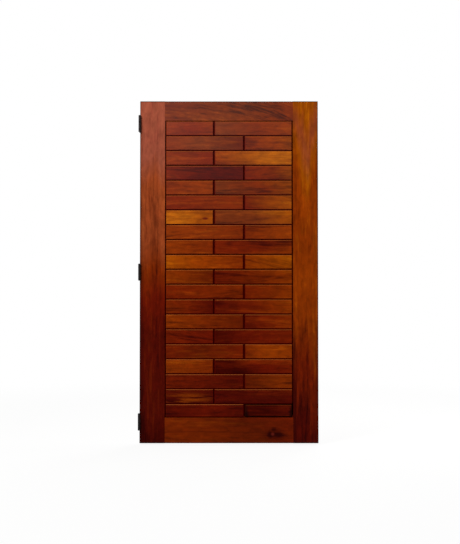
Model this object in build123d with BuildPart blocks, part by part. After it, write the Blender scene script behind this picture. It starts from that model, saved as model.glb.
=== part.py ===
"""Side-hung hardwood door leaf with staggered horizontal boards, on three butt hinges.

All sizes are in millimetres. The origin is on the bottom hinge's frame leaf, on the face that
beds against the jamb, at that leaf's mid-height and in the middle of the door's thickness.
+X runs from the hinges to the closing edge, +Y from the face that shows the hinge barrels to
the other face, and +Z up. The door is modelled shut.
"""

from build123d import *

import os

# Door leaf
door_width = 1095
door_height = 2100
door_thickness = 45
stile_width = 154
top_rail_height = 120
bottom_rail_height = 156
outer_round = 3  # rounding of the leaf's outer arrises
eased_arris = 1  # chamfer of stiles and rails beside the boards

# Boards that fill the frame, measured between the middles of the grooves
course_count = 20
lowest_course_height = 81.5  # the bottom course is ripped narrower than the others
short_board_length = 298
course_gap = 4  # open groove between two courses, and beside the rails
end_gap = 7  # open groove between the ends of two boards
stile_gap = 6  # open groove between a board's end and a stile
board_ease = 4  # chamfer round both faces of a board
last_board_ease = 7  # the lowest board on the closing side is eased more heavily
last_board_corner_round = 9  # and its lower corners are rounded

# Joinery hidden in the thickness, measured from the middle of a groove
tongue_thickness = 14.5
tongue_slack = 0.25  # on each side of a tongue in its groove
slot_reach = 13  # to the floor of the slot that takes a tongue
tip_gap = 0.05  # between a tongue's tip and that floor
tenon_length = 90
tenon_set_in = 30  # wood left between a mortise and the end of the stile
mortise_slack = 0.2  # above and below a tenon
mortise_end_gap = 1  # glue space past a tenon's end

# Butt hinges
hinge_height = 100
knuckle_count = 5
knuckle_radius = 8
knuckle_gap = 0.3
pin_radius = 4
pin_slack = 0.05
pin_head_radius = 7
pin_head_height = 3
pin_ease = 0.5  # chamfer at both ends of the pin
pin_tail = 1.5  # how far the pin shows below the barrel
leaf_thickness = 3
leaf_reach = 44.5  # from the hinge axis to the far edge of a leaf
leaf_gap = 3  # between the two closed leaves, and between door and jamb
leaf_corner_round = 6
barrel_stand_off = 9  # hinge axis in front of the door's face
knuckle_relief = 1  # leaf cut back round the other leaf's knuckles
recess_slack = 0.2  # round the door leaf in its recess
screw_hole_radius = 2.6
screw_sink_radius = 4.8
screw_sink_angle = 90
outer_screw_spacing = 76  # the end pair of each leaf's holes
outer_screw_reach = 22  # from the hinge axis
inner_screw_spacing = 34  # the middle pair
inner_screw_reach = 34
top_hinge_drop = 140  # from the top of the door to the hinge's middle
bottom_hinge_rise = 130  # from the bottom of the door to the hinge's middle

# Places that follow from those sizes
half_thickness = door_thickness / 2
door_left = leaf_thickness + leaf_gap
door_right = door_left + door_width
door_bottom = -bottom_hinge_rise
door_top = door_bottom + door_height
left_stile_face = door_left + stile_width
right_stile_face = door_right - stile_width
panel_left = left_stile_face + stile_gap / 2
panel_right = right_stile_face - stile_gap / 2
panel_bottom = door_bottom + bottom_rail_height + course_gap / 2
panel_top = door_top - top_rail_height - course_gap / 2
slot_width = tongue_thickness + 2 * tongue_slack
tongue_reach = slot_reach - tip_gap
course_pitch = (panel_top - panel_bottom - lowest_course_height) / (course_count - 1)
top_tenon = (panel_top + slot_reach, door_top - tenon_set_in)
bottom_tenon = (door_bottom + tenon_set_in, panel_bottom - slot_reach)
axis_x = leaf_thickness + leaf_gap / 2
axis_y = -half_thickness - barrel_stand_off
top_hinge_z = door_top - top_hinge_drop
hinge_heights = {"bottom": 0, "middle": top_hinge_z / 2, "top": top_hinge_z}
knuckle_pitch = hinge_height / knuckle_count

os.makedirs("parts", exist_ok=True)


def save(part, label):
    """Names a finished piece and writes it to its own file."""
    part.label = label
    export_step(part, f"parts/{label}.step")


def upright_box(left, right, low, high, thickness, mode=Mode.ADD):
    """A box centred in the door's thickness, between two uprights and two levels."""
    with BuildSketch(Plane.XZ) as outline:
        with Locations(((left + right) / 2, (low + high) / 2)):
            Rectangle(right - left, high - low)
    extrude(outline.sketch, amount=thickness / 2, both=True, mode=mode)


def make_stile(label, outer_x, inner_x, hinge_places=()):
    """An upright as tall as the door, slotted for the boards and mortised for both rails."""
    inward = 1 if inner_x > outer_x else -1
    with BuildPart() as stile:
        upright_box(min(outer_x, inner_x), max(outer_x, inner_x), door_bottom, door_top, door_thickness)
        side_faces = stile.faces().filter_by(Axis.X).sort_by(Axis.X)
        inner_edges = (side_faces[-1] if inward > 0 else side_faces[0]).edges()
        outline = stile.edges().filter_by(lambda edge: edge not in inner_edges)
        chamfer(inner_edges.filter_by(Axis.Z), eased_arris)
        fillet(outline, outer_round)
        slot_floor = inner_x - inward * (slot_reach - stile_gap / 2)
        upright_box(min(inner_x, slot_floor), max(inner_x, slot_floor), door_bottom, door_top,
                    slot_width, Mode.SUBTRACT)
        mortise_end = inner_x - inward * (tenon_length + mortise_end_gap)
        for low, high in (top_tenon, bottom_tenon):
            upright_box(min(inner_x, mortise_end), max(inner_x, mortise_end),
                        low - mortise_slack, high + mortise_slack, slot_width, Mode.SUBTRACT)
        for hinge_z in hinge_places:
            recess_end = axis_y + leaf_reach + recess_slack
            with BuildSketch(Plane.YZ.offset(outer_x)) as recess:
                with Locations(((recess_end - half_thickness) / 2, hinge_z)):
                    Rectangle(recess_end + half_thickness, hinge_height + 2 * recess_slack)
                fillet(recess.vertices().group_by(Axis.Y)[-1], leaf_corner_round + recess_slack)
            extrude(amount=inward * leaf_thickness, mode=Mode.SUBTRACT)
    save(stile.part, label)


def make_rail(label, outer_z, inner_z, tongue_low, tongue_high, tenon):
    """A cross piece between the stiles, with a thin tongue and a long tenon at each end."""
    with BuildPart() as rail:
        upright_box(left_stile_face, right_stile_face, min(outer_z, inner_z), max(outer_z, inner_z),
                    door_thickness)
        long_edges = rail.edges().filter_by(Axis.X).group_by(Axis.Z)
        outer_edges, inner_edges = long_edges[-1], long_edges[0]
        if outer_z < inner_z:
            outer_edges, inner_edges = inner_edges, outer_edges
        fillet(outer_edges, outer_round)
        chamfer(inner_edges, eased_arris)
        if tongue_low > inner_z:
            upright_box(left_stile_face, right_stile_face, inner_z, tongue_low, slot_width,
                        Mode.SUBTRACT)
        upright_box(panel_left - tongue_reach, panel_right + tongue_reach, tongue_low, tongue_high,
                    tongue_thickness)
        upright_box(left_stile_face - tenon_length, right_stile_face + tenon_length, *tenon,
                    tongue_thickness)
    save(rail.part, label)


def make_board(label, left, right, low, high, slotted_end, ease=board_ease, corner_round=0):
    """A board between four groove middles: slot below, tongue above, tongue at the right end.

    A right-hand board has a slot in its left end, which takes the left-hand board's tongue.
    A left-hand board has a tongue there instead, which sits in the stile.
    """
    left_gap, right_gap = (end_gap, stile_gap) if slotted_end else (stile_gap, end_gap)
    face_left, face_right = left + left_gap / 2, right - right_gap / 2
    face_low, face_high = low + course_gap / 2, high - course_gap / 2
    with BuildPart() as board:
        upright_box(face_left, face_right, face_low, face_high, door_thickness)
        if corner_round:
            fillet(board.edges().filter_by(Axis.Y).group_by(Axis.Z)[0], corner_round)
        chamfer(board.faces().filter_by(Axis.Y).edges(), ease)
        upright_box(face_left, face_right, face_low, low + slot_reach, slot_width, Mode.SUBTRACT)
        tongue_left = left - tongue_reach
        if slotted_end:
            tongue_left = left + slot_reach
            upright_box(face_left, tongue_left, face_low, face_high, slot_width, Mode.SUBTRACT)
        upright_box(tongue_left, right + tongue_reach, low + slot_reach, high + tongue_reach,
                    tongue_thickness)
    save(board.part, label)


def make_hinge_leaf(label, hinge_z, back_x, front_x, knuckles, open_holes):
    """A hinge plate with its share of the knuckles. Its back beds on wood.

    The frame leaf has open countersunk holes in its front. Screws fill those of the door leaf.
    """
    plate_near = axis_y + knuckle_radius + knuckle_relief
    plate_far = axis_y + leaf_reach
    plate_middle_x = (back_x + front_x) / 2
    hinge_low = hinge_z - hinge_height / 2
    with BuildPart() as leaf:
        with BuildSketch(Plane.YZ.offset(back_x)) as plate:
            with Locations(((plate_near + plate_far) / 2, hinge_z)):
                Rectangle(plate_far - plate_near, hinge_height)
            fillet(plate.vertices().group_by(Axis.Y)[-1], leaf_corner_round)
        extrude(amount=front_x - back_x)
        for knuckle in knuckles:
            with BuildSketch(Plane.XY.offset(hinge_low + knuckle * knuckle_pitch + knuckle_gap / 2)) as roll:
                with Locations((axis_x, axis_y)):
                    Circle(knuckle_radius)
                with Locations((plate_middle_x, (axis_y + plate_far) / 2)):
                    Rectangle(leaf_thickness, leaf_reach - 2 * leaf_corner_round)
            extrude(amount=knuckle_pitch - knuckle_gap)
        with BuildSketch(Plane.XY.offset(hinge_low)):
            with Locations((axis_x, axis_y)):
                Circle(pin_radius + pin_slack)
        extrude(amount=hinge_height, mode=Mode.SUBTRACT)
        if open_holes:
            with Locations(Plane.YZ.offset(front_x)):
                for reach, spacing in ((outer_screw_reach, outer_screw_spacing),
                                       (inner_screw_reach, inner_screw_spacing)):
                    for side in (-1, 1):
                        with Locations((axis_y + reach, hinge_z + side * spacing / 2)):
                            CounterSinkHole(screw_hole_radius, screw_sink_radius, leaf_thickness,
                                            screw_sink_angle)
    save(leaf.part, label)


def make_hinge_pin(label, hinge_z):
    """A loose pin with a button head on top of the barrel and its tail below it."""
    barrel_top = hinge_z + hinge_height / 2
    pin_low = hinge_z - hinge_height / 2 - pin_tail
    with BuildPart() as pin:
        with BuildSketch(Plane.XY.offset(pin_low)):
            with Locations((axis_x, axis_y)):
                Circle(pin_radius)
        extrude(amount=barrel_top - pin_low)
        chamfer(pin.edges().sort_by(Axis.Z)[0], pin_ease)
        with BuildSketch(Plane.XY.offset(barrel_top)):
            with Locations((axis_x, axis_y)):
                Circle(pin_head_radius)
        extrude(amount=pin_head_height)
        chamfer(pin.edges().sort_by(Axis.Z)[-1], pin_ease)
    save(pin.part, label)


make_stile("hinge_stile", door_left, left_stile_face, hinge_heights.values())
make_stile("closing_stile", door_right, right_stile_face)
make_rail("top_rail", door_top, door_top - top_rail_height, panel_top + slot_reach, door_top, top_tenon)
make_rail("bottom_rail", door_bottom, door_bottom + bottom_rail_height, door_bottom,
          panel_bottom + tongue_reach, bottom_tenon)

for course in range(1, course_count + 1):
    course_top = panel_top - (course - 1) * course_pitch
    last_course = course == course_count
    course_low = panel_bottom if last_course else course_top - course_pitch
    short_first = course % 2 == 1
    end_joint = panel_left + short_board_length if short_first else panel_right - short_board_length
    make_board(f"board_{course:02d}_left", panel_left, end_joint, course_low, course_top, False)
    make_board(f"board_{course:02d}_right", end_joint, panel_right, course_low, course_top, True,
               last_board_ease if last_course else board_ease,
               last_board_corner_round if last_course else 0)

frame_knuckles = range(0, knuckle_count, 2)
door_knuckles = range(1, knuckle_count, 2)
for place, height in hinge_heights.items():
    make_hinge_leaf(f"{place}_hinge_frame_leaf", height, 0, leaf_thickness, frame_knuckles, True)
    make_hinge_leaf(f"{place}_hinge_door_leaf", height, door_left + leaf_thickness, door_left,
                    door_knuckles, False)
    make_hinge_pin(f"{place}_hinge_pin", height)
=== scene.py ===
"""Looks for the side-hung hardwood door: varnished timber, blackened hinges and their screws.

Lengths are in metres. The door's front, with the hinge barrels, faces -Y. The grain runs along X
in the boards and rails, and along Z in the stiles.
"""

import math

import bmesh
import bpy
from mathutils import Matrix, Vector


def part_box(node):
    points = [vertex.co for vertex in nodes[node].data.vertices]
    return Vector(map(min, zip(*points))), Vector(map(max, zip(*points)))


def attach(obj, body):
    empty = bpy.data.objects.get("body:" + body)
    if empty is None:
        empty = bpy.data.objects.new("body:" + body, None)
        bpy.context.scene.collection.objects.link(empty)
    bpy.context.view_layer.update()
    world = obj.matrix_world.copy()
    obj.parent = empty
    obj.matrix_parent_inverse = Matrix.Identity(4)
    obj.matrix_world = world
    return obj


MM = 0.001

# Each tone of the timber as its dark streaks, its body and its pale streaks, in sRGB
TONES = {
    "honey": ("#8A3E02", "#B05C06", "#C4720C"),
    "amber": ("#703002", "#944402", "#AC5A04"),
    "ember": ("#6A2402", "#8C3602", "#A44604"),
    "copper": ("#581A02", "#823002", "#984404"),
    # The rose tone is a painted reflection of the studio's light on the varnish.
    "rose": ("#763226", "#8A4430", "#985038"),
    "rust": ("#66260E", "#8A3C1A", "#9C4C24"),
    "walnut": ("#421606", "#6C2A0A", "#82380E"),
    "russet": ("#481002", "#722402", "#883404"),
    "brick": ("#440A02", "#6A1A02", "#802A04"),
    "chestnut": ("#360A02", "#5A1802", "#702A02"),
    "garnet": ("#3E0602", "#621202", "#782202"),
    "oxblood": ("#280202", "#4C0A02", "#621802"),
    "umber": ("#1C0000", "#3A0400", "#4E0C00"),
}

# The boards, from the top course down, left and right: each board's tones from its left end to
# its right end, and how many degrees its grain runs out of the board's length
BOARD_FIGURE = [
    (("russet brick russet", 0), ("walnut russet copper", 1)),
    (("russet walnut chestnut", 1), ("russet ember amber", -1)),
    (("russet brick", -2), ("copper amber honey honey", 1)),
    (("brick oxblood oxblood", 3), ("brick russet amber", -2)),
    (("russet copper", 2), ("walnut russet amber", 0)),
    (("brick russet", 0), ("brick amber", 5)),
    (("honey honey amber amber", 0), ("walnut walnut amber", -2)),
    (("copper russet", -2), ("russet ember", 0)),
    (("copper russet", 1), ("brick brick copper", 2)),
    (("amber ember russet", 1), ("copper amber", 12)),
    (("copper chestnut", 2), ("brick russet copper", 0)),
    (("brick russet", 1), ("brick russet copper", 2)),
    (("russet brick oxblood", -1), ("oxblood brick copper", 3)),
    (("copper russet chestnut", 1), ("oxblood brick russet", 3)),
    (("brick garnet", 9), ("umber garnet brick", -6)),
    (("brick chestnut brick", 0), ("russet ember copper", 1)),
    (("copper russet", 1), ("umber umber garnet brick", 0)),
    (("brick oxblood", 0), ("chestnut copper", 0)),
    (("oxblood oxblood", 2), ("oxblood oxblood", 0)),
    (("oxblood garnet oxblood", 0), ("umber umber oxblood", 1)),
]

# The stiles' tones from the bottom to the top, and the rails' from left to right
# The hinge stile's near black foot is painted shade, and its rose top a painted reflection.
HINGE_STILE_TONES = (
    "umber oxblood oxblood oxblood oxblood garnet russet rust rust rust rose rose rose")
CLOSING_STILE_TONES = (
    "oxblood brick brick russet copper copper ember copper copper ember amber rust amber")
TOP_RAIL_TONES = "chestnut walnut russet"
BOTTOM_RAIL_TONES = "russet russet chestnut brick"

# Sizes of the timber's pattern
BAND = 90 * MM  # slow change of colour across a board
STREAK = 15 * MM  # darker and paler streaks along the grain
FIBRE = 4 * MM  # pores and fibres, drawn coarser than the real 1 mm so that they show
RIBBON = 26 * MM  # cross mottle of interlocked grain
RING_COUNT = 7  # growth lines from the darkest band to the palest
GRAIN_STRETCH = 13  # how much longer than wide a streak is
RIBBON_STRETCH = 0.1  # how much of that stretch the mottle has
GRAIN_STEP = (3.1, 1.7, 2.3)  # where each seed takes its piece of the pattern from
RIBBON_STEP = (-1.0, 0.0, -1.3)
THROUGH = 1000.0  # runs a round pattern straight through the door's thickness

# Strength of the timber's pattern
BAND_SHARE = 0.45
STREAK_SHARE = 0.4
FIBRE_SHARE = 0.15
RING_SHARE = 0.018
FIGURE_SPREAD = 0.13  # how far the pattern strays from its middle, for a contrast of 1
BODY_START, BODY_END = 0.42, 0.62  # the part of the pattern that has the body's colour
MOTTLE_LOW, MOTTLE_HIGH = 0.8, 1.18  # brightness of the cross mottle
TONE_WANDER = 0.8  # how unevenly one tone gives way to the next, as a share of the length

# Painted shade, painted highlights and varnish
EDGE_SHADE_COLOUR = "#2A0302"  # painted shade along the rounded outer edges
EDGE_SHADE = 0.85  # how strongly it shows there
EDGE_NEAR, EDGE_FAR = 3 * MM, 10 * MM  # where it starts to fade, and where it ends
EDGE_RAGGED = 4 * MM  # how far streaks of the grain carry it
GROOVE_SHADE_COLOUR = "#520000"  # wine-red painted shade in the grooves, on the faces that look down and along the end joints
LAST_GROOVE_SHADE_COLOUR = "#1E0000"  # nearly black painted shade round the last board on the closing side
DOWNWARD_SHADE = 0.9  # how much of that painted shade the faces that look down have
GROOVE_FLOOR_SHADE = 0.97  # and how much the floor of a groove has
ARRIS_DEPTH = 1.5 * MM  # how far the arrises reach below the faces, where the painted groove shade begins
GROOVE_DEPTH = 3.5 * MM  # below the faces, where the painted shade in the grooves is full
JOINT_X = (461 * MM, 646 * MM)  # end joints of the odd and the even courses
JOINT_SHADE_REACH = 12 * MM  # how far painted shade reaches from the middle of an end joint
ARRIS_HIGHLIGHT_COLOUR = "#C87434"  # painted highlight on the arrises, standing in for the light that the upper ones catch
TOP_ARRIS_HIGHLIGHT, LOW_ARRIS_HIGHLIGHT = 0.3, 0.55  # how pale they are on the top board and on the lowest
LAST_ARRIS_HIGHLIGHT = 0.12  # and on the last board on the closing side
EVEN_ARRIS_HIGHLIGHT = 0.03  # what the arrises that don't look up have of it
TOP_SHEEN = 0.22  # varnish of the upper boards, which the weather has dulled least
RAIL_SHEEN = 0.17
LOW_SHEEN = 0.02
DULL_COURSE = 10  # from this course down, the boards have the low sheen
SATIN_SMOOTH, SATIN_ROUGH = 0.4, 0.52  # roughness of the satin varnish

# The screws of the door leaves, as in the source of the hinges
BARREL_RADIUS = 8 * MM
SCREW_PAIRS = ((22 * MM, 76 * MM), (34 * MM, 34 * MM))  # reach from the axis, and spacing
SCREW_HEAD_RADIUS = 4.8 * MM
SCREW_HEAD_DEPTH = 1.0 * MM
SCREW_PROUD = 0.25 * MM  # how far a head stands out of its leaf

# The studio: each lamp's name, place, target, size of its side and power in watts
LAMPS = [
    ("key_light", (-1.1, -2.3, 3.5), (0.35, 0.0, 1.3), 1.3, 120),
    ("edge_light", (3.2, 0.6, 2.0), (1.1, 0.0, 0.9), 1.4, 40),
    ("back_light", (1.8, 2.6, 2.8), (0.6, 0.0, 0.9), 1.6, 80),
]
SOFT_LIGHT = 0.25  # what the studio's walls add to the lamps
FLOOR_DROP = 10 * MM  # from the door's bottom down to the floor
FLOOR_HALF_WIDTH = 60.0
SHADOW_REACH = (1.5, 5.0)  # from the door's middle, where the floor fades into plain white
NEAR_WHITE = 0.9  # how white the floor is shown before that


def linear(code):
    """Turns an sRGB hex colour into the linear RGBA that a socket takes."""
    channels = [int(code[i:i + 2], 16) / 255 for i in (1, 3, 5)]
    light = [c / 12.92 if c <= 0.04045 else ((c + 0.055) / 1.055) ** 2.4 for c in channels]
    return (*light, 1.0)


def add(tree, kind, inputs=None, stops=None, **settings):
    """Adds a node with its settings, and links or sets its inputs by name or number."""
    node = tree.nodes.new(kind)
    for name, value in settings.items():
        setattr(node, name, value)
    if stops:
        ramp = node.color_ramp
        while len(ramp.elements) < len(stops):
            ramp.elements.new(0.5)
        for element, (position, colour) in zip(ramp.elements, stops):
            element.position = position
            element.color = colour
    for name, value in (inputs or {}).items():
        if isinstance(value, bpy.types.NodeSocket):
            tree.links.new(value, node.inputs[name])
        else:
            node.inputs[name].default_value = value
    return node


def new_material(name):
    """An empty node material, and its tree to fill."""
    material = bpy.data.materials.new(name)
    material.use_nodes = True
    material.node_tree.nodes.clear()
    return material, material.node_tree


def mark(middle, half_length, half_height, colour, strength=0.85, breakup=1.0, streaky=0.0):
    """A patch of another colour on a piece.

    breakup is how far streaks of the grain break up its edge, and streaky how far they break up
    its middle.
    """
    return middle, half_length, half_height, linear(colour), strength, breakup, streaky


def grain_patterns(tree, coordinates, middle, along, slant, seed, stretch, arch):
    """Four noises of a piece: bands, streaks and fibres along the grain, and ribbon across it."""
    scale = [stretch if letter == along else 1.0 for letter in "XYZ"]
    turned = (0.0, math.radians(slant), 0.0)
    followed = coordinates
    if arch:
        centre, flatness = arch
        offset = add(tree, "ShaderNodeMapping", {
            "Vector": coordinates, "Location": centre, "Scale": (flatness, THROUGH, 1.0)},
            vector_type="TEXTURE").outputs["Vector"]
        radius = add(tree, "ShaderNodeVectorMath", {0: offset}, operation="LENGTH").outputs["Value"]
        position = add(tree, "ShaderNodeSeparateXYZ", {"Vector": coordinates}).outputs
        followed = add(tree, "ShaderNodeCombineXYZ", {
            "X": position["X"], "Y": position["Y"], "Z": radius}).outputs["Vector"]
    grain = add(tree, "ShaderNodeMapping", {
        "Vector": followed, "Location": middle + Vector([seed * step for step in GRAIN_STEP]),
        "Rotation": turned, "Scale": scale}, vector_type="TEXTURE").outputs["Vector"]
    even = add(tree, "ShaderNodeMapping", {
        "Vector": coordinates, "Location": middle + Vector([seed * step for step in RIBBON_STEP]),
        "Rotation": turned, "Scale": [1 + (s - 1) * RIBBON_STRETCH for s in scale]},
        vector_type="TEXTURE").outputs["Vector"]
    noises = []
    for vector, size, detail, roughness, distortion in (
            (grain, BAND, 2.0, 0.5, 0.3), (grain, STREAK, 4.0, 0.6, 0.2),
            (grain, FIBRE, 2.0, 0.7, 0.0), (even, RIBBON, 2.0, 0.5, 0.6)):
        noises.append(add(tree, "ShaderNodeTexNoise", {
            "Vector": vector, "Scale": 1 / size, "Detail": detail, "Roughness": roughness,
            "Distortion": distortion}).outputs["Fac"])
    return noises


def grain_figure(tree, bands, streaks, fibres, contrast):
    """The grain from its dark streaks, at 0, to its pale ones, at 1."""
    rings = add(tree, "ShaderNodeMath", {
        0: bands, 1: RING_COUNT * math.tau * 2}, operation="MULTIPLY").outputs[0]
    rings = add(tree, "ShaderNodeMath", {0: rings}, operation="SINE").outputs[0]
    figure = add(tree, "ShaderNodeMath", {0: bands, 1: BAND_SHARE}, operation="MULTIPLY").outputs[0]
    for pattern, share in ((streaks, STREAK_SHARE), (fibres, FIBRE_SHARE), (rings, RING_SHARE)):
        figure = add(tree, "ShaderNodeMath", {
            0: pattern, 1: share, 2: figure}, operation="MULTIPLY_ADD").outputs[0]
    spread = FIGURE_SPREAD / contrast
    return add(tree, "ShaderNodeMapRange", {
        "Value": figure, "From Min": 0.5 - spread, "From Max": 0.5 + spread}).outputs["Result"]


def blend_tones(tree, figure, bands, place, start, end, tones, wander):
    """The piece's colour: its tones follow one another from its start to its end."""
    drift = add(tree, "ShaderNodeMapRange", {
        "Value": place, "From Min": start, "From Max": end}).outputs["Result"]
    drift = add(tree, "ShaderNodeMath", {
        0: bands, 1: wander, 2: drift}, operation="MULTIPLY_ADD").outputs[0]
    drift = add(tree, "ShaderNodeMapRange", {
        "Value": drift, "From Min": wander / 2, "From Max": 1 + wander / 2}).outputs["Result"]
    names = tones.split()
    steps = len(names) - 1
    colour = None
    for number, tone in enumerate(names):
        dark, body, pale = (linear(code) for code in TONES[tone])
        here = add(tree, "ShaderNodeValToRGB", {"Fac": figure}, stops=[
            (0.0, dark), (BODY_START, body), (BODY_END, body), (1.0, pale)]).outputs["Color"]
        if number == 0:
            colour = here
            continue
        share = add(tree, "ShaderNodeMapRange", {
            "Value": drift, "From Min": (number - 1) / steps,
            "From Max": number / steps}).outputs["Result"]
        colour = add(tree, "ShaderNodeMix", {0: share, 6: colour, 7: here},
                     data_type="RGBA").outputs[2]
    return colour


def lay_mark(tree, colour, coordinates, streaks, patch):
    """The colour with one mark on it."""
    middle, half_length, half_height, mark_colour, strength, breakup, streaky = patch
    offset = add(tree, "ShaderNodeMapping", {
        "Vector": coordinates, "Location": middle,
        "Scale": (half_length, THROUGH, half_height)}, vector_type="TEXTURE").outputs["Vector"]
    radius = add(tree, "ShaderNodeVectorMath", {0: offset}, operation="LENGTH").outputs["Value"]
    radius = add(tree, "ShaderNodeMath", {
        0: streaks, 1: breakup, 2: radius}, operation="MULTIPLY_ADD").outputs[0]
    amount = add(tree, "ShaderNodeMapRange", {
        "Value": radius, "From Min": 0.3 + breakup / 2, "From Max": 1.1 + breakup / 2,
        "To Min": strength, "To Max": 0.0}, interpolation_type="SMOOTHSTEP").outputs["Result"]
    if streaky:
        paler = add(tree, "ShaderNodeMapRange", {
            "Value": streaks, "From Min": 0.42, "From Max": 0.58,
            "To Min": 1 - streaky, "To Max": 1.0}).outputs["Result"]
        amount = add(tree, "ShaderNodeMath", {
            0: amount, 1: paler}, operation="MULTIPLY").outputs[0]
    return add(tree, "ShaderNodeMix", {0: amount, 6: colour, 7: mark_colour},
               data_type="RGBA").outputs[2]


def shade_outer_arris(tree, colour, across, edge, depth, face, streaks):
    """The colour with painted shade along one outer arris of both faces.

    across is the axis that the edge is measured on, depth how far a point lies from the middle
    of the door's thickness, and face how far the faces do.
    """
    aside = add(tree, "ShaderNodeMath", {0: across, 1: edge}, operation="SUBTRACT").outputs[0]
    aside = add(tree, "ShaderNodeMath", {0: aside}, operation="ABSOLUTE").outputs[0]
    below = add(tree, "ShaderNodeMath", {0: face, 1: depth}, operation="SUBTRACT").outputs[0]
    reach = add(tree, "ShaderNodeMath", {0: aside, 1: below}, operation="ADD").outputs[0]
    reach = add(tree, "ShaderNodeMath", {
        0: streaks, 1: EDGE_RAGGED, 2: reach}, operation="MULTIPLY_ADD").outputs[0]
    amount = add(tree, "ShaderNodeMapRange", {
        "Value": reach, "From Min": EDGE_NEAR, "From Max": EDGE_FAR, "To Min": EDGE_SHADE,
        "To Max": 0.0}, interpolation_type="SMOOTHSTEP").outputs["Result"]
    return add(tree, "ShaderNodeMix", {0: amount, 6: colour, 7: linear(EDGE_SHADE_COLOUR)},
               data_type="RGBA").outputs[2]


def paint_board_light_and_shade(tree, colour, depth, face, arris_highlight, groove):
    """A board's colour with painted highlights on the upper arrises and painted shade on the faces
    that look down and in the grooves, and how much of that groove shade it has.
    """
    normal = add(tree, "ShaderNodeNewGeometry").outputs["Normal"]
    facing = add(tree, "ShaderNodeSeparateXYZ", {"Vector": normal}).outputs
    level = add(tree, "ShaderNodeMath", {0: facing["Y"]}, operation="ABSOLUTE").outputs[0]
    arris = add(tree, "ShaderNodeMapRange", {
        "Value": level, "From Min": 0.95, "From Max": 0.8}).outputs["Result"]
    upward = add(tree, "ShaderNodeMapRange", {
        "Value": facing["Z"], "From Min": 0.2, "From Max": 0.6, "To Min": EVEN_ARRIS_HIGHLIGHT,
        "To Max": arris_highlight}).outputs["Result"]
    highlit_arris = add(tree, "ShaderNodeMath", {0: upward, 1: arris}, operation="MULTIPLY").outputs[0]
    downward_shade = add(tree, "ShaderNodeMapRange", {
        "Value": facing["Z"], "From Min": -0.2, "From Max": -0.6, "To Min": 0.0,
        "To Max": DOWNWARD_SHADE}).outputs["Result"]
    groove_shade = add(tree, "ShaderNodeMapRange", {
        "Value": depth, "From Min": face - GROOVE_DEPTH, "From Max": face - ARRIS_DEPTH,
        "To Min": GROOVE_FLOOR_SHADE, "To Max": 0.0}).outputs["Result"]
    for amount, code in ((highlit_arris, ARRIS_HIGHLIGHT_COLOUR), (downward_shade, groove), (groove_shade, groove)):
        colour = add(tree, "ShaderNodeMix", {0: amount, 6: colour, 7: linear(code)},
                     data_type="RGBA").outputs[2]
    return colour, groove_shade


def varnished_timber(name, low, high, tones, upright=False, slant=0.0, seed=0.0, contrast=1.0,
                     stretch=GRAIN_STRETCH, wander=TONE_WANDER, sheen=LOW_SHEEN, arch=None,
                     marks=(), edges=(), arris_highlight=None, groove=GROOVE_SHADE_COLOUR):
    """Meranti, a red-brown hardwood, planed, stained and brushed with satin varnish.

    It gives the eye long streaks of several browns with a soft sheen. low and high are the
    piece's corners. tones names those along the grain, evenly spaced. arch is the middle of the
    growth rings of a flat-sawn piece and how long they are for their height. edges are the
    planes of the door's outer faces that the piece has, as an axis and a place; their arrises get
    painted shade. A grooved board is given how pale the painted highlight on its upper arrises
    is, and the colour of the painted shade in its grooves and on its faces that look down.
    """
    material, tree = new_material(name)
    coordinates = add(tree, "ShaderNodeTexCoord").outputs["Object"]
    position = add(tree, "ShaderNodeSeparateXYZ", {"Vector": coordinates}).outputs
    depth = add(tree, "ShaderNodeMath", {0: position["Y"]}, operation="ABSOLUTE").outputs[0]
    along = "Z" if upright else "X"
    axis = "XYZ".index(along)

    bands, streaks, fibres, ribbon = grain_patterns(
        tree, coordinates, (low + high) / 2, along, slant, seed, stretch, arch)
    figure = grain_figure(tree, bands, streaks, fibres, contrast)
    colour = blend_tones(tree, figure, bands, position[along], low[axis], high[axis], tones, wander)
    mottle = add(tree, "ShaderNodeMapRange", {
        "Value": ribbon, "From Min": 0.3, "From Max": 0.7,
        "To Min": MOTTLE_LOW, "To Max": MOTTLE_HIGH}).outputs["Result"]
    colour = add(tree, "ShaderNodeMix", {0: 1.0, 6: colour, 7: mottle},
                 data_type="RGBA", blend_type="MULTIPLY").outputs[2]
    for patch in marks:
        colour = lay_mark(tree, colour, coordinates, streaks, patch)
    for letter, edge in edges:
        colour = shade_outer_arris(tree, colour, position[letter], edge, depth, high.y, streaks)

    varnish = add(tree, "ShaderNodeMapRange", {
        "Value": streaks, "From Min": 0.3, "From Max": 0.7,
        "To Min": SATIN_SMOOTH, "To Max": SATIN_ROUGH}).outputs["Result"]
    if arris_highlight:
        colour, groove_shade = paint_board_light_and_shade(tree, colour, depth, high.y, arris_highlight, groove)
        varnish = add(tree, "ShaderNodeMath", {
            0: varnish, 1: groove_shade}, operation="MAXIMUM").outputs[0]
    pores = add(tree, "ShaderNodeMapRange", {
        "Value": fibres, "From Min": 0.36, "From Max": 0.5}).outputs["Result"]
    bump = add(tree, "ShaderNodeBump", {
        "Height": pores, "Strength": 0.15, "Distance": 0.3 * MM}).outputs["Normal"]
    shader = add(tree, "ShaderNodeBsdfPrincipled", {
        "Base Color": colour, "Roughness": varnish, "IOR": 1.45, "Specular IOR Level": sheen,
        "Normal": bump})
    add(tree, "ShaderNodeOutputMaterial", {"Surface": shader.outputs["BSDF"]})
    return material


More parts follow.
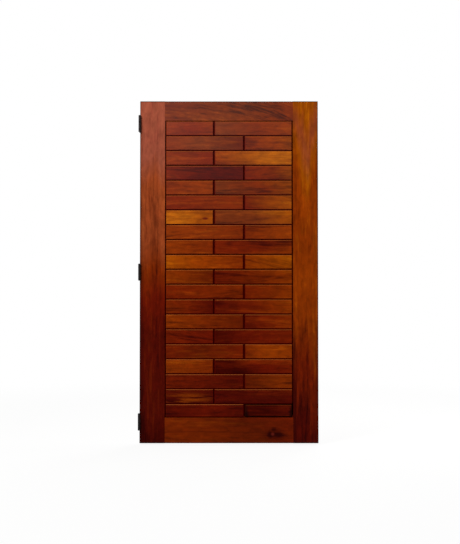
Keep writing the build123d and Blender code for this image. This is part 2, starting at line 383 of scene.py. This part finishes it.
def blackened_steel(name):
    """Hinge steel with a blackened, waxed finish: near black, with a dull broken sheen."""
    material, tree = new_material(name)
    coordinates = add(tree, "ShaderNodeTexCoord").outputs["Object"]
    blotches = add(tree, "ShaderNodeTexNoise", {
        "Vector": coordinates, "Scale": 1 / (14 * MM), "Detail": 5.0, "Roughness": 0.6})
    grit = add(tree, "ShaderNodeTexNoise", {
        "Vector": coordinates, "Scale": 1 / (1.1 * MM), "Detail": 2.0, "Roughness": 0.6})
    colour = add(tree, "ShaderNodeValToRGB", {"Fac": blotches.outputs["Fac"]}, stops=[
        (0.3, linear("#0D0A0A")), (0.55, linear("#1B1514")), (0.75, linear("#2C2320"))])
    roughness = add(tree, "ShaderNodeMapRange", {
        "Value": blotches.outputs["Fac"], "To Min": 0.32, "To Max": 0.62}).outputs["Result"]
    bump = add(tree, "ShaderNodeBump", {
        "Height": grit.outputs["Fac"], "Strength": 0.12, "Distance": 0.2 * MM}).outputs["Normal"]
    shader = add(tree, "ShaderNodeBsdfPrincipled", {
        "Base Color": colour.outputs["Color"], "Metallic": 0.85, "Roughness": roughness,
        "Normal": bump})
    add(tree, "ShaderNodeOutputMaterial", {"Surface": shader.outputs["BSDF"]})
    return material


def seen_directly(tree):
    """1 where the camera looks at the studio, or sees it in metal or glass, and otherwise 0."""
    path = add(tree, "ShaderNodeLightPath").outputs
    seen = add(tree, "ShaderNodeMath", {
        0: path["Is Camera Ray"], 1: path["Is Glossy Ray"]}, operation="MAXIMUM").outputs[0]
    return add(tree, "ShaderNodeMath", {
        0: seen, 1: path["Is Transmission Ray"]}, operation="MAXIMUM").outputs[0]


def studio_white(name, centre):
    """Matt white studio paper. The camera, metal and glass see it as nearly plain white.

    It keeps a faint shadow near the centre, and fades into the white studio farther out.
    """
    material, tree = new_material(name)
    coordinates = add(tree, "ShaderNodeTexCoord").outputs["Object"]
    away = add(tree, "ShaderNodeVectorMath", {
        0: coordinates, 1: centre}, operation="DISTANCE").outputs["Value"]
    whiteness = add(tree, "ShaderNodeMapRange", {
        "Value": away, "From Min": SHADOW_REACH[0], "From Max": SHADOW_REACH[1],
        "To Min": NEAR_WHITE, "To Max": 1.0}, interpolation_type="SMOOTHSTEP").outputs["Result"]
    amount = add(tree, "ShaderNodeMath", {
        0: seen_directly(tree), 1: whiteness}, operation="MULTIPLY").outputs[0]
    paper = add(tree, "ShaderNodeBsdfDiffuse", {"Color": linear("#F2F2F0")}).outputs["BSDF"]
    white = add(tree, "ShaderNodeEmission", {
        "Color": linear("#FFFFFF"), "Strength": 1.0}).outputs["Emission"]
    surface = add(tree, "ShaderNodeMixShader", {0: amount, 1: paper, 2: white}).outputs["Shader"]
    add(tree, "ShaderNodeOutputMaterial", {"Surface": surface})
    return material


def dress(node, material):
    """Gives a carried-over solid one material all over."""
    node.data.materials.clear()
    node.data.materials.append(material)


def finish_object(mesh, name):
    """Turns a bmesh into an object at the origin, with its faces pointing outwards."""
    bmesh.ops.remove_doubles(mesh, verts=mesh.verts, dist=1e-6)
    bmesh.ops.recalc_face_normals(mesh, faces=mesh.faces)
    data = bpy.data.meshes.new(name)
    mesh.to_mesh(data)
    mesh.free()
    piece = bpy.data.objects.new(name, data)
    bpy.context.scene.collection.objects.link(piece)
    return piece


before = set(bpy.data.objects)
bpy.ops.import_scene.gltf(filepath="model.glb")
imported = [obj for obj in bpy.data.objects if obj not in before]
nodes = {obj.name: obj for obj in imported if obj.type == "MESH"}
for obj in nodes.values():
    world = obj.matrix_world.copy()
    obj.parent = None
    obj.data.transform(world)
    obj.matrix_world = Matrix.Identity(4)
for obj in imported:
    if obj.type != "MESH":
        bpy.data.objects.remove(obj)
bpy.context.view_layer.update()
stile_boxes = [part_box("hinge_stile"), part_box("closing_stile")]
leaf_low = Vector([min(low[axis] for low, _ in stile_boxes) for axis in range(3)])
leaf_high = Vector([max(high[axis] for _, high in stile_boxes) for axis in range(3)])


def dress_boards():
    """Varnishes the boards. Three of them have marks of their own."""
    for course, sides in enumerate(BOARD_FIGURE, start=1):
        joint_x = JOINT_X[(course + 1) % 2]
        down = course / len(BOARD_FIGURE)
        sheen = TOP_SHEEN + (LOW_SHEEN - TOP_SHEEN) * min(1.0, course / DULL_COURSE)
        for side, (tones, slant) in zip(("left", "right"), sides):
            name = f"board_{course:02d}_{side}"
            low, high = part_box(name)
            # Painted shade spreads from the end joint of this course.
            marks = [mark(Vector((joint_x, 0, low.z)), JOINT_SHADE_REACH, 9.0, GROOVE_SHADE_COLOUR, 0.95, 0.4)]
            seed = course + (0.5 if side == "right" else 0.0)
            # The painted highlight on the upper arrises grows paler down the door.
            arris_highlight = TOP_ARRIS_HIGHLIGHT + (LOW_ARRIS_HIGHLIGHT - TOP_ARRIS_HIGHLIGHT) * down
            groove = GROOVE_SHADE_COLOUR
            if name == "board_07_left":
                fleck = low + Vector((0.258, 0, 0.037))
                marks.append(mark(fleck, 0.022, 0.009, "#5C1206", 0.95))
            if name == "board_19_left":
                seed = 71.0
                flame = low + Vector((0.15, 0, 0.03))
                marks.append(mark(flame, 0.2, 0.05, "#984204", 0.6, 1.6, 1.0))
            # The last board on the closing side: less painted highlight, nearly black painted shade
            # in its grooves, and dark patches at both ends that are painted shade beside its end
            # grooves.
            if name == "board_20_right":
                arris_highlight = LAST_ARRIS_HIGHLIGHT
                groove = LAST_GROOVE_SHADE_COLOUR
                for end_x in (low.x + 0.004, high.x - 0.016):
                    marks.append(mark(Vector((end_x, 0, low.z)), 0.026, 0.11, "#160202", 0.95))
            dress(nodes[name], varnished_timber(
                f"varnished_meranti_{name}", low, high, tones, slant=slant, seed=seed,
                sheen=sheen, marks=marks, arris_highlight=arris_highlight, groove=groove))


def dress_stiles():
    """Varnishes both stiles: dark at the foot, and paler and redder up to the top. On the hinge
    stile the near black foot is painted shade and the rose top a painted reflection.
    """
    low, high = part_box("hinge_stile")
    ends = [("Z", low.z), ("Z", high.z)]
    outer_strip = mark(Vector((low.x, 0, low.z + 0.75)), 0.032, 1.4, "#2A0302", 0.42)
    dress(nodes["hinge_stile"], varnished_timber(
        "varnished_meranti_hinge_stile", low, high, HINGE_STILE_TONES, upright=True, seed=31.0,
        contrast=0.9, wander=0.15, marks=[outer_strip], edges=[("X", low.x)] + ends))
    low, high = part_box("closing_stile")
    inner_strip = mark(Vector((low.x + 0.004, 0, low.z + 0.15)), 0.024, 0.62, "#340402")
    outer_strip = mark(Vector((high.x, 0, low.z + 0.3)), 0.034, 0.75, "#340402", 0.5)
    dress(nodes["closing_stile"], varnished_timber(
        "varnished_meranti_closing_stile", low, high, CLOSING_STILE_TONES, upright=True,
        seed=37.0, contrast=0.9, wander=0.5, marks=[inner_strip, outer_strip],
        edges=[("X", high.x)] + ends))


def dress_rails():
    """Varnishes the flat-sawn top rail, and the bottom rail with its knot."""
    low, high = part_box("top_rail")
    arch_middle = low + Vector((-0.05, 0, -0.55))
    dress(nodes["top_rail"], varnished_timber(
        "varnished_meranti_top_rail", low, high, TOP_RAIL_TONES, seed=41.0, contrast=1.3,
        stretch=9, sheen=RAIL_SHEEN, arch=(arch_middle, 2.0), edges=[("Z", high.z)]))
    low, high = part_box("bottom_rail")
    knot = Vector((0.82, 0, -0.076))
    dress(nodes["bottom_rail"], varnished_timber(
        "varnished_meranti_bottom_rail", low, high, BOTTOM_RAIL_TONES, seed=43.0, contrast=0.75,
        edges=[("Z", low.z)], marks=[
            mark(knot + Vector((0.016, 0, 0)), 0.075, 0.046, "#3E0802", 0.75, 1.4),
            mark(knot + Vector((-0.014, 0, -0.002)), 0.024, 0.034, "#240202", 0.8, 1.6),
            mark(knot + Vector((0.034, 0, 0.002)), 0.046, 0.024, "#240202", 0.8, 1.6),
            mark(knot + Vector((0.008, 0, 0.028)), 0.022, 0.018, "#240202", 0.7, 1.6),
            mark(knot + Vector((0, 0, 0.002)), 0.013, 0.012, "#74241A", 0.6)]))


def dress_hinges():
    """Blackens every hinge piece."""
    steel = blackened_steel("blackened_steel")
    for name, node in nodes.items():
        if "hinge_" in name and name != "hinge_stile":
            dress(node, steel)
    return steel


def add_slotted_head(mesh, centre, turn_degrees):
    """Adds one countersunk screw head that faces -X: a disc with a rounded rim and a slot."""
    rim = 0.25 * MM
    slot_width, slot_depth = 1.2 * MM, 0.7 * MM
    turn = Matrix.Rotation(math.radians(turn_degrees), 4, "X")
    outward = Matrix.Rotation(math.radians(-90), 4, "Y")
    head = bmesh.new()
    bmesh.ops.create_cone(head, cap_ends=True, segments=32, radius1=SCREW_HEAD_RADIUS,
                          radius2=SCREW_HEAD_RADIUS, depth=SCREW_HEAD_DEPTH)
    rim_edges = [e for e in head.edges if all(v.co.z > 0 for v in e.verts)]
    bmesh.ops.bevel(head, geom=rim_edges, offset=rim, affect="EDGES", segments=2, profile=0.5,
                    material=-1)
    for side in (-1, 1):
        geometry = head.verts[:] + head.edges[:] + head.faces[:]
        bmesh.ops.bisect_plane(head, geom=geometry, plane_co=(side * slot_width / 2, 0, 0),
                               plane_no=(1, 0, 0))
    slot = [f for f in head.faces
            if f.normal.z > 0.9 and abs(f.calc_center_median().x) < slot_width / 2]
    walls = bmesh.ops.extrude_face_region(head, geom=slot)["geom"]
    bmesh.ops.delete(head, geom=slot, context="FACES_ONLY")
    bmesh.ops.translate(head, vec=(0, 0, -slot_depth),
                        verts=[v for v in walls if isinstance(v, bmesh.types.BMVert)])
    bmesh.ops.transform(head, matrix=Matrix.Translation(centre) @ turn @ outward, verts=head.verts)
    data = bpy.data.meshes.new("screw_head")
    head.to_mesh(data)
    head.free()
    mesh.from_mesh(data)
    bpy.data.meshes.remove(data)


def add_door_leaf_screws(steel):
    """Countersunk screws that hold the three door leaves to the stile, one joined piece a hinge."""
    head_x = leaf_low.x + SCREW_HEAD_DEPTH / 2 - SCREW_PROUD
    for place in ("top", "middle", "bottom"):
        low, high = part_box(f"{place}_hinge_door_leaf")
        middle_z = (low.z + high.z) / 2
        axis_y = low.y + BARREL_RADIUS
        mesh = bmesh.new()
        turn = 20
        for reach, spacing in SCREW_PAIRS:
            for side in (-1, 1):
                centre = Vector((head_x, axis_y + reach, middle_z + side * spacing / 2))
                add_slotted_head(mesh, centre, turn)
                turn += 50
        screws = finish_object(mesh, f"{place}_hinge_screws")
        screws.data.materials.append(steel)
        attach(screws, "door_leaf")


def add_stage():
    """A white floor just under the door."""
    mesh = bmesh.new()
    bmesh.ops.create_grid(mesh, x_segments=1, y_segments=1, size=FLOOR_HALF_WIDTH,
                          matrix=Matrix.Translation((0.5, 0.0, leaf_low.z - FLOOR_DROP)))
    floor = finish_object(mesh, "studio_floor")
    floor.data.materials.append(studio_white("matt_white_paper", (leaf_low + leaf_high) / 2))


def add_area_lamp(name, place, target, size, power):
    """A square soft box that points at a target."""
    data = bpy.data.lights.new(name, "AREA")
    data.shape = "SQUARE"
    data.size = size
    data.energy = power
    lamp = bpy.data.objects.new(name, data)
    lamp.location = place
    lamp.rotation_euler = (Vector(target) - Vector(place)).to_track_quat("-Z", "Y").to_euler()
    bpy.context.scene.collection.objects.link(lamp)


def add_lamps():
    """A key light high on the left, near the top of the door, and soft light from all sides."""
    for name, place, target, size, power in LAMPS:
        add_area_lamp(name, place, target, size, power)
    world = bpy.data.worlds.new("studio")
    bpy.context.scene.world = world
    world.use_nodes = True
    tree = world.node_tree
    tree.nodes.clear()
    strength = add(tree, "ShaderNodeMapRange", {
        "Value": seen_directly(tree), "To Min": SOFT_LIGHT, "To Max": 1.0}).outputs["Result"]
    background = add(tree, "ShaderNodeBackground", {
        "Color": linear("#FFFFFF"), "Strength": strength})
    add(tree, "ShaderNodeOutputWorld", {"Surface": background.outputs["Background"]})


def add_camera():
    """Frames the leaf as the photograph does: its edges at these pixels of 460 by 544."""
    image_width, image_height = 460, 544
    left_px, right_px, top_px, bottom_px = 139.8, 318.2, 101.5, 443.0
    distance = 6.0
    pitch = math.radians(1.5)
    drop = 4.5 * MM  # the upward view sets both ends of the leaf a little lower
    metres_per_pixel = (leaf_high.x - leaf_low.x) / (right_px - left_px)
    right_of_leaf = (image_width - left_px - right_px) / 2 * metres_per_pixel
    above_leaf = (top_px + bottom_px - image_height) / 2 * metres_per_pixel
    middle_x = (leaf_low.x + leaf_high.x) / 2 + right_of_leaf
    middle_z = (leaf_low.z + leaf_high.z) / 2 + above_leaf - drop
    data = bpy.data.cameras.new("camera")
    data.sensor_fit = "VERTICAL"
    data.sensor_height = 24.0
    data.lens = data.sensor_height * distance / (image_height * metres_per_pixel)
    camera = bpy.data.objects.new("camera", data)
    camera.location = (middle_x, leaf_low.y - distance, middle_z - distance * math.tan(pitch))
    camera.rotation_euler = (math.radians(90) + pitch, 0.0, 0.0)
    bpy.context.scene.collection.objects.link(camera)
    bpy.context.scene.camera = camera


dress_boards()
dress_stiles()
dress_rails()
hinge_steel = dress_hinges()
add_door_leaf_screws(hinge_steel)
add_stage()
add_lamps()
add_camera()
bpy.context.scene.view_settings.view_transform = "Standard"
